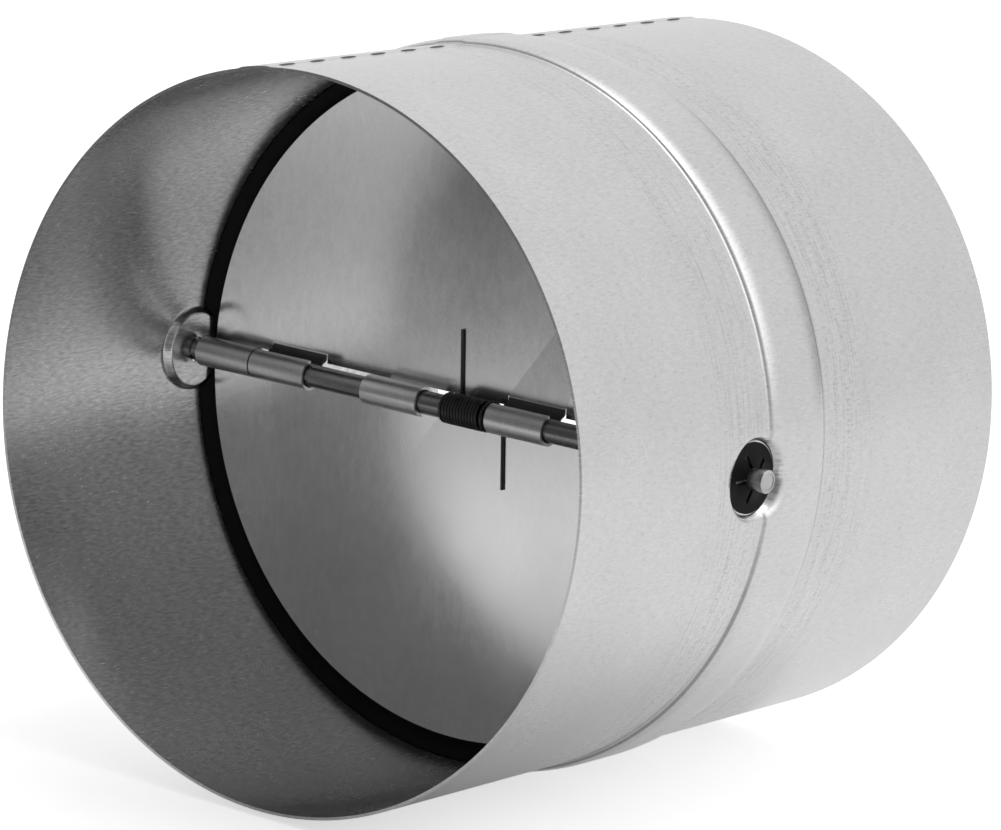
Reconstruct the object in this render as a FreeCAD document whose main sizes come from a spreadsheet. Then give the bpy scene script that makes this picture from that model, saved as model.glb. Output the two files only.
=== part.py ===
import FreeCAD, Part
import math
import os
import Sketcher
from FreeCAD import Placement, Rotation, Vector

# Spring-loaded butterfly backdraft damper for round duct of nominal 125 mm.
# The duct axis is Y, with the outlet end at -Y. The hinge shaft lies along X.
# The lengthwise seam is near the top, +Z. The origin is on the duct axis at
# the middle of the casing, which is also the middle of its rolled bead.
# Lengths are in millimetres, angles in degrees.

doc = FreeCAD.newDocument("backdraft_damper")
sheet = doc.addObject("Spreadsheet::Sheet", "Sizes")

SIZES = (
    # casing, rolled from one strip of galvanised sheet
    ("casing_radius", 62.0),
    ("casing_length", 116.0),
    ("sheet_thick", 0.5),
    # the bead is rolled outwards, with a steep front flank and a gentle rear one
    ("bead_width", 16.2),
    ("bead_height", 1.0),
    ("bead_front_slope", 50.0),
    ("bead_crest_bend", 1.0),
    ("bead_rear_run", 3.5),
    # lapped lengthwise seam
    ("seam_angle", 100.0),
    ("seam_spread", 5.6),
    ("seam_rise", 0.2),
    ("seam_end_gap", 0.3),
    # round dimple that takes each lock washer
    ("dimple_depth", 1.6),
    ("dimple_wall", 1.75),
    ("dimple_slope", 50.0),
    ("dimple_flare", 5.5),
    ("dimple_flare_slope", 25.0),
    # hinge shaft
    ("shaft_radius", 2.0),
    ("shaft_overhang", 2.4),
    ("shaft_chamfer", 0.4),
    ("shaft_hole_clearance", 0.08),
    # flaps, two alike, each with three rolled knuckles
    ("flap_thick", 0.5),
    ("flap_edge_gap", 3.3),
    ("flap_setback", 4.0),
    ("flap_slot_half", 1.68),
    ("flap_slide", 0.9),
    ("knuckle_clearance", 0.15),
    ("knuckle_rise", 0.7),
    ("knuckle_joggle", 2.7),
    ("knuckle_lap", 0.35),
    ("knuckle_side_gap", 0.15),
    ("knuckle_end_gap", 2.7),
    ("knuckle_inner_start", 7.4),
    ("knuckle_inner_end", 19.9),
    ("knuckle_middle_start", 32.6),
    ("knuckle_middle_end", 45.1),
    # rubber seal in the hollow of the bead
    ("seal_inset", 2.4),
    ("seal_toe", 0.1),
    ("seal_gap", 0.3),
    ("seal_overlap", 2.0),
    ("seal_root_thick", 2.0),
    ("seal_tip_thick", 1.2),
    ("seal_fit", 0.2),
    # torsion spring
    ("wire_thick", 0.56),
    ("coil_play", 0.17),
    ("coil_turn_gap", 0.08),
    ("coil_turns", 13),
    ("leg_length", 13.0),
    ("leg_side_gap", 0.15),
    ("leg_lean", 3.7),
    ("leg_knuckle_gap", 0.35),
    # push-on lock washer
    ("washer_radius", 6.0),
    ("washer_thick", 0.3),
    ("washer_seat_gap", 0.4),
    ("washer_teeth", 5),
    ("washer_tooth_root", 4.2),
    ("washer_dish", 0.55),
    ("washer_grip", 0.02),
    ("washer_slit", 0.75),
)

for row, (alias, number) in enumerate(SIZES, start=1):
    sheet.set("A%d" % row, alias)
    sheet.set("B%d" % row, str(number))
    sheet.setAlias("B%d" % row, alias)
doc.recompute()


class Size:
    """A number together with the spreadsheet expression that gives it."""

    def __init__(self, number, text):
        self.number = float(number)
        self.text = text

    def _join(self, sign, other, number):
        text = other.text if isinstance(other, Size) else repr(float(other))
        return Size(number, "(%s %s %s)" % (self.text, sign, text))

    def __add__(self, other):
        return self._join("+", other, self.number + value(other))

    def __sub__(self, other):
        return self._join("-", other, self.number - value(other))

    def __mul__(self, other):
        return self._join("*", other, self.number * value(other))

    def __truediv__(self, other):
        return self._join("/", other, self.number / value(other))

    def __neg__(self):
        return Size(-self.number, "(0 - %s)" % self.text)

    def root(self):
        return Size(math.sqrt(self.number), "sqrt(%s)" % self.text)

    def sin(self):
        return Size(math.sin(math.radians(self.number)), "sin(%s * 1deg)" % self.text)

    def cos(self):
        return Size(math.cos(math.radians(self.number)), "cos(%s * 1deg)" % self.text)

    def tan(self):
        return Size(math.tan(math.radians(self.number)), "tan(%s * 1deg)" % self.text)


def value(item):
    return item.number if isinstance(item, Size) else float(item)


def size(alias):
    return Size(sheet.get(alias), "Sizes.%s" % alias)


def other_leg(long_side, leg):
    """The second leg of a right triangle."""
    return (long_side * long_side - leg * leg).root()


def bind(obj, prop, amount):
    """Set a property to a size and tie it to the spreadsheet."""
    whole = isinstance(getattr(obj, prop), int)
    setattr(obj, prop, int(amount.number) if whole else amount.number)
    obj.setExpression(prop, amount.text)


def new_body(name, x=None, y=None, turn=None):
    """A body placed at x, y and turned half round about an axis through that point."""
    body = doc.addObject("PartDesign::Body", name)
    body.Label = name
    base = Vector(x.number if x else 0, y.number if y else 0, 0)
    body.Placement = Placement(base, Rotation(turn, 180) if turn else Rotation())
    if x:
        body.setExpression("Placement.Base.x", x.text)
    if y:
        body.setExpression("Placement.Base.y", y.text)
    return body


def new_sketch(body, role, name, lift=None):
    """A sketch on one of the body's own origin planes, lifted along its normal."""
    plane = [item for item in body.Origin.OriginFeatures if item.Role == role][0]
    sketch = body.newObject("Sketcher::SketchObject", name)
    sketch.AttachmentSupport = [(plane, "")]
    sketch.MapMode = "FlatFace"
    if lift:
        sketch.AttachmentOffset = Placement(Vector(0, 0, lift.number), Rotation())
        sketch.setExpression("AttachmentOffset.Base.z", lift.text)
    return sketch


def tie(sketch, constraint, amount):
    """Add a driving dimension that follows the spreadsheet."""
    index = sketch.addConstraint(constraint)
    sketch.setExpression("Constraints[%d]" % index, amount.text)


def outline(sketch, corners, arcs=None):
    """A closed outline. arcs maps a corner's index to (centre, radius, sense) of the side that
    leaves it, with sense +1 for anticlockwise; every other side is straight."""
    arcs = arcs or {}
    ends = []
    for index, (u, v) in enumerate(corners):
        next_u, next_v = corners[(index + 1) % len(corners)]
        start = Vector(u.number, v.number, 0)
        stop = Vector(next_u.number, next_v.number, 0)
        if index in arcs:
            centre, radius, sense = arcs[index]
            middle = Vector(value(centre[0]), value(centre[1]), 0)
            circle = Part.Circle(middle, Vector(0, 0, 1), radius.number)
            first = math.atan2(start.y - middle.y, start.x - middle.x)
            last = math.atan2(stop.y - middle.y, stop.x - middle.x)
            if sense < 0:
                first, last = last, first
            geo = sketch.addGeometry(Part.ArcOfCircle(circle, first, last), False)
            ends.append((geo, 1, 2) if sense > 0 else (geo, 2, 1))
        else:
            geo = sketch.addGeometry(Part.LineSegment(start, stop), False)
            ends.append((geo, 1, 2))
    for index, (geo, _, stop_point) in enumerate(ends):
        next_geo, next_start, _ = ends[(index + 1) % len(ends)]
        sketch.addConstraint(Sketcher.Constraint("Coincident", geo, stop_point, next_geo, next_start))
    for index, (u, v) in enumerate(corners):
        geo, start_point, _ = ends[index]
        tie(sketch, Sketcher.Constraint("DistanceX", geo, start_point, u.number), u)
        tie(sketch, Sketcher.Constraint("DistanceY", geo, start_point, v.number), v)
    for index, (_, radius, _) in arcs.items():
        tie(sketch, Sketcher.Constraint("Radius", ends[index][0], radius.number), radius)


def disc(sketch, u, v, radius):
    """A full circle."""
    circle = Part.Circle(Vector(value(u), value(v), 0), Vector(0, 0, 1), radius.number)
    geo = sketch.addGeometry(circle, False)
    tie(sketch, Sketcher.Constraint("DistanceX", geo, 3, u.number), u)
    tie(sketch, Sketcher.Constraint("DistanceY", geo, 3, v.number), v)
    tie(sketch, Sketcher.Constraint("Radius", geo, radius.number), radius)


def revolve(body, name, sketch):
    """Turn a sketch about its own horizontal axis."""
    feature = body.newObject("PartDesign::Revolution", name)
    feature.Profile = sketch
    feature.ReferenceAxis = (sketch, ["H_Axis"])
    feature.Angle = 360
    sketch.Visibility = False
    return feature


def pad(body, name, sketch, length, backwards=False):
    feature = body.newObject("PartDesign::Pad", name)
    feature.Profile = sketch
    bind(feature, "Length", length)
    feature.Reversed = backwards
    return feature


zero = Size(0, "0")

casing_radius = size("casing_radius")
sheet_thick = size("sheet_thick")
half_length = size("casing_length") / 2
bead_foot = size("bead_width") / 2
bead_height = size("bead_height")
bead_crest = casing_radius + bead_height
crest_bend = size("bead_crest_bend") + sheet_thick / 2
front_slope = size("bead_front_slope")
front_sin = front_slope.sin()
front_cos = front_slope.cos()
front_straight = (bead_height - crest_bend * (Size(1, "1") - front_cos)) * front_cos / front_sin
front_run = front_straight + crest_bend * front_sin
rear_run = size("bead_rear_run")

# The seal's lip stands just inside the bead. The flaps close on it, and the
# hinge shaft lies in front of the flaps.
seal_front = size("seal_inset") - bead_foot
flap_thick = size("flap_thick")
flap_setback = size("flap_setback")
hinge_y = seal_front - size("seal_gap") - flap_thick - flap_setback
flap_radius = casing_radius - sheet_thick - size("flap_edge_gap")
shaft_radius = size("shaft_radius")
dimple_floor = casing_radius - size("dimple_depth")
dimple_floor_radius = size("washer_radius") + size("washer_seat_gap")


def bead_line(skin):
    """One skin of the casing from the front rim to the rear rim. skin is its distance from the
    middle of the sheet, outwards. Returns the corners and the arcs that leave them."""
    middle = casing_radius - sheet_thick / 2
    wall = middle + skin
    crest = wall + bead_height
    front_mitre = skin * (front_slope / 2).tan()
    rear_mitre = skin * ((rear_run * rear_run + bead_height * bead_height).root() - rear_run) / bead_height
    bend_centre = (front_run - bead_foot, middle + bead_height - crest_bend)
    bend_radius = crest_bend + skin
    corners = [
        (-half_length, wall),
        (-bead_foot - front_mitre, wall),
        (bend_centre[0] - bend_radius * front_sin, bend_centre[1] + bend_radius * front_cos),
        (front_run - bead_foot, crest),
        (bead_foot - rear_run + rear_mitre, crest),
        (bead_foot + rear_mitre, wall),
        (half_length, wall),
    ]
    return corners, {2: (bend_centre, bend_radius, -1)}


outer_corners, outer_arcs = bead_line(sheet_thick / 2)
inner_corners, inner_arcs = bead_line(-(sheet_thick / 2))

# rolled casing
tube = new_body("tube")
tube_sketch = new_sketch(tube, "YZ_Plane", "tube_section")
back = len(inner_corners) - 1
tube_arcs = dict(outer_arcs)
for corner, (centre, radius, sense) in inner_arcs.items():
    # the inner skin is drawn from the rear rim to the front, so each side starts at its far corner
    tube_arcs[len(outer_corners) + back - corner - 1] = (centre, radius, -sense)
outline(tube_sketch, outer_corners + inner_corners[::-1], tube_arcs)
revolve(tube, "tube_wall", tube_sketch)


def seam_strip(name, inner, outer, start, length, backwards):
    """A band of the lapped seam, drawn as a sector across the duct."""
    sketch = new_sketch(tube, "XZ_Plane", name + "_section", start)
    half = size("seam_spread") / 2
    low = size("seam_angle") - half
    high = size("seam_angle") + half
    corners = [
        (outer * low.cos(), outer * low.sin()),
        (outer * high.cos(), outer * high.sin()),
        (inner * high.cos(), inner * high.sin()),
        (inner * low.cos(), inner * low.sin()),
    ]
    outline(sketch, corners, {0: ((0, 0), outer, 1), 2: ((0, 0), inner, -1)})
    return pad(tube, name, sketch, length, backwards)


seam_rise = size("seam_rise")
seam_inner = casing_radius - sheet_thick / 2
seam_end = bead_foot + size("seam_end_gap")
seam_length = half_length - seam_end
seam_strip("seam_front", seam_inner, casing_radius + seam_rise, seam_end, seam_length, False)
seam_strip("seam_rear", seam_inner, casing_radius + seam_rise, -seam_end, seam_length, True)
bead_top = bead_foot * 2 - front_run - rear_run
seam_over = seam_strip(
    "seam_on_bead", seam_inner + bead_height, bead_crest + seam_rise, bead_foot - front_run, bead_top, True
)
tube.Tip = seam_over

# the space inside the outer skin, which trims the dimples
tube_space = new_body("tube_space")
space_sketch = new_sketch(tube_space, "YZ_Plane", "space_section")
space_corners = [(-half_length, zero)] + outer_corners + [(half_length, zero)]
outline(space_sketch, space_corners, {corner + 1: arc for corner, arc in outer_arcs.items()})
revolve(tube_space, "space_round", space_sketch)

# dimples: flat floor, steep wall and a gentler flare that runs out into the casing
wall = size("dimple_wall")
flare = size("dimple_flare")
wall_slope = size("dimple_slope")
wall_sin = wall_slope.sin()
wall_cos = wall_slope.cos()
flare_slope = size("dimple_flare_slope")
flare_sin = flare_slope.sin()
flare_cos = flare_slope.cos()
mouth_mitre = (wall_slope - flare_slope).cos() + 1


def dimple_line(depth):
    """The dimple's skin from floor to flare, depth below the outside of the sheet."""
    mouth = (
        dimple_floor + wall * wall_sin - depth * (wall_cos + flare_cos) / mouth_mitre,
        dimple_floor_radius + wall * wall_cos + depth * (wall_sin + flare_sin) / mouth_mitre,
    )
    return [
        (dimple_floor - depth, dimple_floor_radius + depth * (wall_slope / 2).tan()),
        mouth,
        (mouth[0] + flare * flare_sin, mouth[1] + flare * flare_cos),
    ]


top_corners = dimple_line(zero)
under_corners = dimple_line(sheet_thick)
hole_radius = shaft_radius + size("shaft_hole_clearance")

dimple = new_body("dimple_right", y=hinge_y)
dimple_sketch = new_sketch(dimple, "XY_Plane", "dimple_section")
dimple_corners = [(dimple_floor, hole_radius)] + top_corners + under_corners[::-1]
dimple_corners.append((dimple_floor - sheet_thick, hole_radius))
outline(dimple_sketch, dimple_corners)
revolve(dimple, "dimple_wall", dimple_sketch)

hollow = new_body("dimple_hollow_right", y=hinge_y)
hollow_sketch = new_sketch(hollow, "XY_Plane", "hollow_section")
far = bead_crest + flare
hollow_corners = [(dimple_floor, zero)] + top_corners + [(far, top_corners[-1][1]), (far, zero)]
outline(hollow_sketch, hollow_corners)
revolve(hollow, "hollow_round", hollow_sketch)


def mirrored(source, name):
    """The same form on the other side of the duct."""
    copy = doc.addObject("Part::Mirroring", name)
    copy.Source = source
    copy.Normal = Vector(1, 0, 0)
    return copy


def combined(kind, name, first, second):
    result = doc.addObject(kind, name)
    result.Base = first
    result.Tool = second
    return result


def pair(name, source):
    both = doc.addObject("Part::Compound", name)
    both.Links = [source, mirrored(source, name + "_left")]
    return both


doc.recompute()
pressed_tube = combined("Part::Cut", "pressed_tube", tube, pair("hollows", hollow))
dimples = combined("Part::Common", "dimples_trimmed", tube_space, pair("dimples", dimple))
casing = combined("Part::Fuse", "casing", pressed_tube, dimples)
casing.Label = "casing"

# rubber seal: a band in the hollow of the bead with a lip that stands inwards and a toe that
# runs forward along the wall. It is relieved where the underside of each dimple reaches it.
seal_band = new_body("seal_band")
seal_fit = size("seal_fit")
lip_tip = flap_radius - size("seal_overlap")
band_inner = casing_radius - sheet_thick - seal_fit
band_outer = bead_crest - sheet_thick - seal_fit / 2
band_front = front_run - bead_foot + seal_fit
band_rear = bead_foot - rear_run - seal_fit
seal_sketch = new_sketch(seal_band, "YZ_Plane", "seal_section")
outline(seal_sketch, [
    (seal_front, lip_tip),
    (seal_front, flap_radius + size("flap_slide") + seal_fit),
    (size("seal_toe") - bead_foot, band_inner),
    (band_front, band_inner),
    (band_front, band_outer),
    (band_rear, band_outer),
    (band_rear, band_inner),
    (seal_front + size("seal_root_thick"), band_inner),
    (seal_front + size("seal_tip_thick"), lip_tip),
])
revolve(seal_band, "seal_profile", seal_sketch)
relief = new_body("seal_relief_right", y=hinge_y)
relief_line = dimple_line(sheet_thick + seal_fit)
relief_sketch = new_sketch(relief, "XY_Plane", "relief_section")
outline(relief_sketch, [(relief_line[0][0], zero)] + relief_line + [(far, relief_line[-1][1]), (far, zero)])
revolve(relief, "relief_round", relief_sketch)
doc.recompute()
seal = combined("Part::Cut", "seal_ring", seal_band, pair("seal_reliefs", relief))
seal.Label = "seal_ring"

# hinge shaft with chamfered ends
shaft = new_body("hinge_shaft", y=hinge_y)
shaft_half = casing_radius + size("shaft_overhang")
shaft_chamfer = size("shaft_chamfer")
shaft_sketch = new_sketch(shaft, "XY_Plane", "shaft_section")
outline(shaft_sketch, [
    (-shaft_half, zero),
    (-shaft_half, shaft_radius - shaft_chamfer),
    (shaft_chamfer - shaft_half, shaft_radius),
    (shaft_half - shaft_chamfer, shaft_radius),
    (shaft_half, shaft_radius - shaft_chamfer),
    (shaft_half, zero),
])
revolve(shaft, "shaft_round", shaft_sketch)

# flaps
knuckle_inside = shaft_radius + size("knuckle_clearance")
knuckle_outside = knuckle_inside + flap_thick
side_gap = size("knuckle_side_gap")
joggle = size("knuckle_joggle")
joggle_low = size("knuckle_rise")
joggle_high = joggle_low + joggle
slot_half = size("flap_slot_half")
flap_slide = size("flap_slide")
knuckle_end = dimple_floor - sheet_thick - size("knuckle_end_gap")
inner_start = size("knuckle_inner_start")
inner_end = size("knuckle_inner_end")
middle_start = size("knuckle_middle_start")
middle_end = size("knuckle_middle_end")


def knuckle_profile(sketch):
    """The flap's sheet seen along the shaft: it steps forward and curls round the shaft, from
    behind and below up to a free edge at the top."""
    step = flap_setback - knuckle_inside
    middle = flap_setback + flap_thick / 2
    radius = (joggle * joggle + step * step) / (step * 4)
    turn_sin = joggle / (radius * 2)
    turn_cos = Size(1, "1") - step / (radius * 2)
    half = flap_thick / 2
    upper = (middle - radius, joggle_high)
    lower = (middle - step + radius, joggle_low)
    lap = size("knuckle_lap")

    def bend_point(offset):
        reach = radius + offset
        return (upper[0] + reach * turn_cos, upper[1] - reach * turn_sin)

    corners = [
        (flap_setback + flap_thick, joggle_high + flap_thick),
        (flap_setback + flap_thick, joggle_high),
        bend_point(half),
        (knuckle_outside, joggle_low),
        (knuckle_outside, zero),
        (-lap, other_leg(knuckle_outside, lap)),
        (-lap, other_leg(knuckle_inside, lap)),
        (knuckle_inside, zero),
        (knuckle_inside, joggle_low),
        bend_point(-half),
        (flap_setback, joggle_high),
        (flap_setback, joggle_high + flap_thick),
    ]
    arcs = {
        1: (upper, radius + half, -1),
        2: (lower, radius - half, 1),
        4: ((0, 0), knuckle_outside, -1),
        6: ((0, 0), knuckle_inside, 1),
        8: (lower, radius + half, -1),
        9: (upper, radius - half, 1),
    }
    outline(sketch, corners, arcs)


def make_flap(name, turn=None):
    """Half disc of sheet with a straight edge beside the shaft. Its own knuckles are the left
    middle, the right inner and the right end one. It has slid a little along the shaft."""
    flap = new_body(name, x=-flap_slide, y=hinge_y, turn=turn)
    plate_sketch = new_sketch(flap, "XZ_Plane", name + "_outline", -flap_setback)
    straps = ((-middle_end, -middle_start), (inner_start, inner_end), (middle_end, knuckle_end))
    corners = [(-other_leg(flap_radius, slot_half), slot_half)]
    for low, high in straps:
        corners.append((low, slot_half))
        corners.append((low, joggle_high))
        corners.append((high, joggle_high))
        corners.append((high, slot_half))
    corners.append((other_leg(flap_radius, slot_half), slot_half))
    outline(plate_sketch, corners, {len(corners) - 1: ((0, 0), flap_radius, 1)})
    pad(flap, name + "_plate", plate_sketch, flap_thick, True)
    knuckles = (
        ("left", -middle_end, -middle_start),
        ("middle", inner_start, inner_end),
        ("right", middle_end, knuckle_end),
    )
    for place, low, high in knuckles:
        start = low + side_gap
        stop = high if place == "right" else high - side_gap
        sketch = new_sketch(flap, "YZ_Plane", "%s_knuckle_%s_section" % (name, place), start)
        knuckle_profile(sketch)
        feature = pad(flap, "%s_knuckle_%s" % (name, place), sketch, stop - start)
    flap.Tip = feature
    return flap


upper_flap = make_flap("upper_flap")
lower_flap = make_flap("lower_flap", Vector(0, 1, 0))

# torsion spring: the coil lies against the upper flap's middle knuckle, and a
# leg at each end lies on the front of a flap
wire_thick = size("wire_thick")
wire_radius = wire_thick / 2
coil_radius = shaft_radius + size("coil_play") + wire_radius
coil_pitch = wire_thick + size("coil_turn_gap")
leg_step = wire_thick + size("leg_side_gap")
lower_leg_x = inner_start - flap_slide - size("leg_knuckle_gap") - wire_radius
coil_stop = lower_leg_x - leg_step
turn_count = int(size("coil_turns").number)
coil_start = coil_stop - coil_pitch * (turn_count - 1)
upper_leg_x = coil_start - leg_step
leg_radius = flap_setback - wire_radius

coil = new_body("spring_coil", x=coil_start, y=hinge_y)
coil_sketch = new_sketch(coil, "XY_Plane", "coil_section")
coil_inner = shaft_radius + size("coil_play")
coil_corners = [(wire_radius + coil_pitch * (turn_count - 1), coil_inner), (-wire_radius, coil_inner)]
for turn in range(turn_count):
    # one turn of wire, with its groove to the next
    coil_corners.append((coil_pitch * turn - wire_radius, coil_radius))
    coil_corners.append((coil_pitch * turn, coil_inner + wire_thick))
coil_corners.append((wire_radius + coil_pitch * (turn_count - 1), coil_radius))
outline(coil_sketch, coil_corners)
revolve(coil, "coil_turns", coil_sketch)


def make_leg(name, x, turn):
    """A straight leg behind its end turn that lies on the flap and leans a little, as the wire
    leaves the coil. turn is how far it is turned about the duct axis's direction."""
    leg = new_body(name, x=x, y=hinge_y)
    leg.Placement = Placement(leg.Placement.Base, Rotation(Vector(0, -1, 0), turn.number))
    wire = new_sketch(leg, "XY_Plane", name + "_wire", -coil_radius / 2)
    disc(wire, zero, leg_radius, wire_radius)
    pad(leg, name + "_straight", wire, size("leg_length") + coil_radius / 2)
    return leg


lean = size("leg_lean")
upper_leg = make_leg("spring_leg_upper", upper_leg_x, lean)
lower_leg = make_leg("spring_leg_lower", lower_leg_x, lean + 180)

# push-on lock washers: a flat rim and slit teeth that lean out along the shaft
washer_radius = size("washer_radius")
washer_thick = size("washer_thick")
tooth_root = size("washer_tooth_root")
tooth_tip = shaft_radius + size("washer_grip")
dish = size("washer_dish")
slit_half = size("washer_slit") / 2


def make_washer(name, x, turn=None):
    washer = new_body(name, x=x, y=hinge_y, turn=turn)
    section = new_sketch(washer, "XY_Plane", name + "_section")
    outline(section, [
        (zero, washer_radius),
        (zero, tooth_root),
        (dish, tooth_tip),
        (dish + washer_thick, tooth_tip),
        (washer_thick, tooth_root),
        (washer_thick, washer_radius),
    ])
    revolve(washer, name + "_round", section)
    slit = new_sketch(washer, "YZ_Plane", name + "_slit_outline")
    slit_low = tooth_tip / 2
    outline(slit, [
        (-slit_half, slit_low),
        (slit_half, slit_low),
        (slit_half, tooth_root),
        (-slit_half, tooth_root),
    ])
    cut = washer.newObject("PartDesign::Pocket", name + "_slit")
    cut.Profile = slit
    cut.Type = "ThroughAll"
    cut.Midplane = True
    teeth = washer.newObject("PartDesign::PolarPattern", name + "_teeth")
    teeth.Originals = [cut]
    axis = [item for item in washer.Origin.OriginFeatures if item.Role == "X_Axis"][0]
    teeth.Axis = (axis, [""])
    teeth.Angle = 360
    bind(teeth, "Occurrences", size("washer_teeth"))
    washer.Tip = teeth
    slit.Visibility = False
    return washer


right_washer = make_washer("lock_washer_right", dimple_floor)
left_washer = make_washer("lock_washer_left", -dimple_floor, Vector(0, 0, 1))

doc.recompute()

failed = [item.Name for item in doc.Objects if "Invalid" in item.State or "Error" in item.State]
if failed:
    raise RuntimeError("failed to compute: " + ", ".join(failed))

PIECES = (
    casing, seal, shaft, upper_flap, lower_flap, coil,
    upper_leg, lower_leg, left_washer, right_washer,
)

for piece in PIECES:
    shape = piece.Shape
    if shape.isNull() or not shape.isValid():
        raise RuntimeError("bad shape: " + piece.Label)
    if len(shape.Solids) != 1:
        raise RuntimeError("%s has %d solids" % (piece.Label, len(shape.Solids)))

os.makedirs("parts", exist_ok=True)
for piece in PIECES:
    piece.Shape.exportStep("parts/%s.step" % piece.Label)
    box = piece.Shape.BoundBox
    print("%-18s %9.1f mm3  x %7.2f %7.2f  y %7.2f %7.2f  z %7.2f %7.2f" % (
        piece.Label, piece.Shape.Volume, box.XMin, box.XMax, box.YMin, box.YMax, box.ZMin, box.ZMax))
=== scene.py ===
"""Looks for a spring-loaded butterfly backdraft damper.

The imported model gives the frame. Each sub-assembly below takes its nodes over with
smooth meshes and finishes, in metres, with the duct axis on Y and the shaft along X.
"""
import logging
import math
from dataclasses import dataclass, field
from enum import Enum

import bpy
from mathutils import Matrix, Vector


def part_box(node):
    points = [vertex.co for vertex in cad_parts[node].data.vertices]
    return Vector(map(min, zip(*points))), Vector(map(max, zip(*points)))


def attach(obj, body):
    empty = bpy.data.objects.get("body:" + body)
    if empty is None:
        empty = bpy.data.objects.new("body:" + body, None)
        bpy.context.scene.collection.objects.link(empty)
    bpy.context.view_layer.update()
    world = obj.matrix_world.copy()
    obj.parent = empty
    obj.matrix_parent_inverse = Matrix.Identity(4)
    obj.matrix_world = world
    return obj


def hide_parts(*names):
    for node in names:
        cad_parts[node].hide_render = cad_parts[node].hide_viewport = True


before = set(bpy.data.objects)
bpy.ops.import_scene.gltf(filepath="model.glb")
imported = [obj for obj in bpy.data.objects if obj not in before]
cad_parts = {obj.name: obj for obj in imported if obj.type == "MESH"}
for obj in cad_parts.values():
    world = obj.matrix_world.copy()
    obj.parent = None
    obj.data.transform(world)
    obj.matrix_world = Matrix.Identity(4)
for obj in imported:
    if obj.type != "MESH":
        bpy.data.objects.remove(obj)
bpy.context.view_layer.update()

LOG = logging.getLogger("damper")
MM = 0.001
AXLE = (0.0, -10.5 * MM, 0.0)  # the middle of the hinge shaft
DUCTWISE = (math.radians(90), 0.0, 0.0)  # turns a primitive's Z onto the duct's axis
SHAFTWISE = (0.0, math.radians(90), 0.0)  # turns a primitive's Z onto the shaft's axis

Slopes = tuple[tuple[float, float], ...]


class Side(Enum):
    """Which end of the hinge shaft a piece belongs to, by the sign of X."""

    LEFT = -1
    RIGHT = 1


class Blade(Enum):
    """The two flaps, by the sign of Z on their side of the shaft."""

    UPPER = 1
    LOWER = -1


# mesh helpers


def deselect_all() -> None:
    """Leave edit mode and select nothing."""
    if bpy.context.object is not None and bpy.context.object.mode != "OBJECT":
        bpy.ops.object.mode_set(mode="OBJECT")
    bpy.ops.object.select_all(action="DESELECT")


def make_active(piece: bpy.types.Object) -> None:
    """Select one piece and make it the active one."""
    deselect_all()
    piece.select_set(True)
    bpy.context.view_layer.objects.active = piece


def added(name: str) -> bpy.types.Object:
    """Name the primitive that was just added, and bake its place into its mesh.

    Args:
        name: plain name of the piece.

    Returns:
        The active object.
    """
    piece = bpy.context.object
    piece.name = name
    piece.data.name = name
    bpy.ops.object.transform_apply(location=True, rotation=True, scale=True)
    return piece


def apply_modifier(piece: bpy.types.Object, kind: str, **settings: object) -> None:
    """Add a modifier, set it and apply it.

    Args:
        piece: the object to modify.
        kind: Blender's modifier type.
        settings: modifier properties by name.
    """
    make_active(piece)
    bpy.ops.object.modifier_add(type=kind)
    modifier = piece.modifiers[-1]
    for key, setting in settings.items():
        setattr(modifier, key, setting)
    bpy.ops.object.modifier_apply(modifier=modifier.name)


def bevel(piece: bpy.types.Object, width: float, segments: int, degrees: float) -> None:
    """Round the edges that are sharper than an angle.

    Args:
        piece: the object to bevel.
        width: how far the bevel reaches from the edge.
        segments: faces across the bevel.
        degrees: edges sharper than this are rounded.
    """
    apply_modifier(
        piece, "BEVEL", width=width, segments=segments, limit_method="ANGLE",
        angle_limit=math.radians(degrees),
    )


def smooth(piece: bpy.types.Object, degrees: float) -> None:
    """Smooth shading with creases kept above an angle.

    Args:
        piece: the object to shade.
        degrees: edges sharper than this stay sharp.
    """
    make_active(piece)
    bpy.ops.object.shade_smooth_by_angle(angle=math.radians(degrees))


def outward(piece: bpy.types.Object) -> None:
    """Turn all faces of a piece outwards."""
    make_active(piece)
    bpy.ops.object.mode_set(mode="EDIT")
    bpy.ops.mesh.select_all(action="SELECT")
    bpy.ops.mesh.normals_make_consistent(inside=False)
    bpy.ops.object.mode_set(mode="OBJECT")


def close_ends(piece: bpy.types.Object) -> None:
    """Fill the open ends of a tube."""
    make_active(piece)
    bpy.ops.object.mode_set(mode="EDIT")
    bpy.ops.mesh.select_mode(type="EDGE")
    bpy.ops.mesh.select_all(action="DESELECT")
    bpy.ops.mesh.select_non_manifold(extend=False)
    bpy.ops.mesh.edge_face_add()
    bpy.ops.object.mode_set(mode="OBJECT")


def pick_faces(piece: bpy.types.Object, wanted: list[bool]) -> None:
    """Enter edit mode with only some faces selected.

    Args:
        piece: the object to edit.
        wanted: for each face, whether it is selected.
    """
    make_active(piece)
    bpy.ops.object.mode_set(mode="EDIT")
    bpy.ops.mesh.select_mode(type="FACE")
    bpy.ops.mesh.select_all(action="DESELECT")
    bpy.ops.object.mode_set(mode="OBJECT")
    for face, selected in zip(piece.data.polygons, wanted):
        face.select = selected
    bpy.ops.object.mode_set(mode="EDIT")


def ease(t: float) -> float:
    """A smooth step from 0 to 1."""
    t = min(1.0, max(0.0, t))
    return t * t * (3.0 - 2.0 * t)


def blend_down(first: float, second: float, width: float) -> float:
    """The smaller of two numbers, with the corner between them rounded over a width."""
    share = max(0.0, width - abs(first - second)) / width
    return min(first, second) - share * share * width / 4.0


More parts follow.
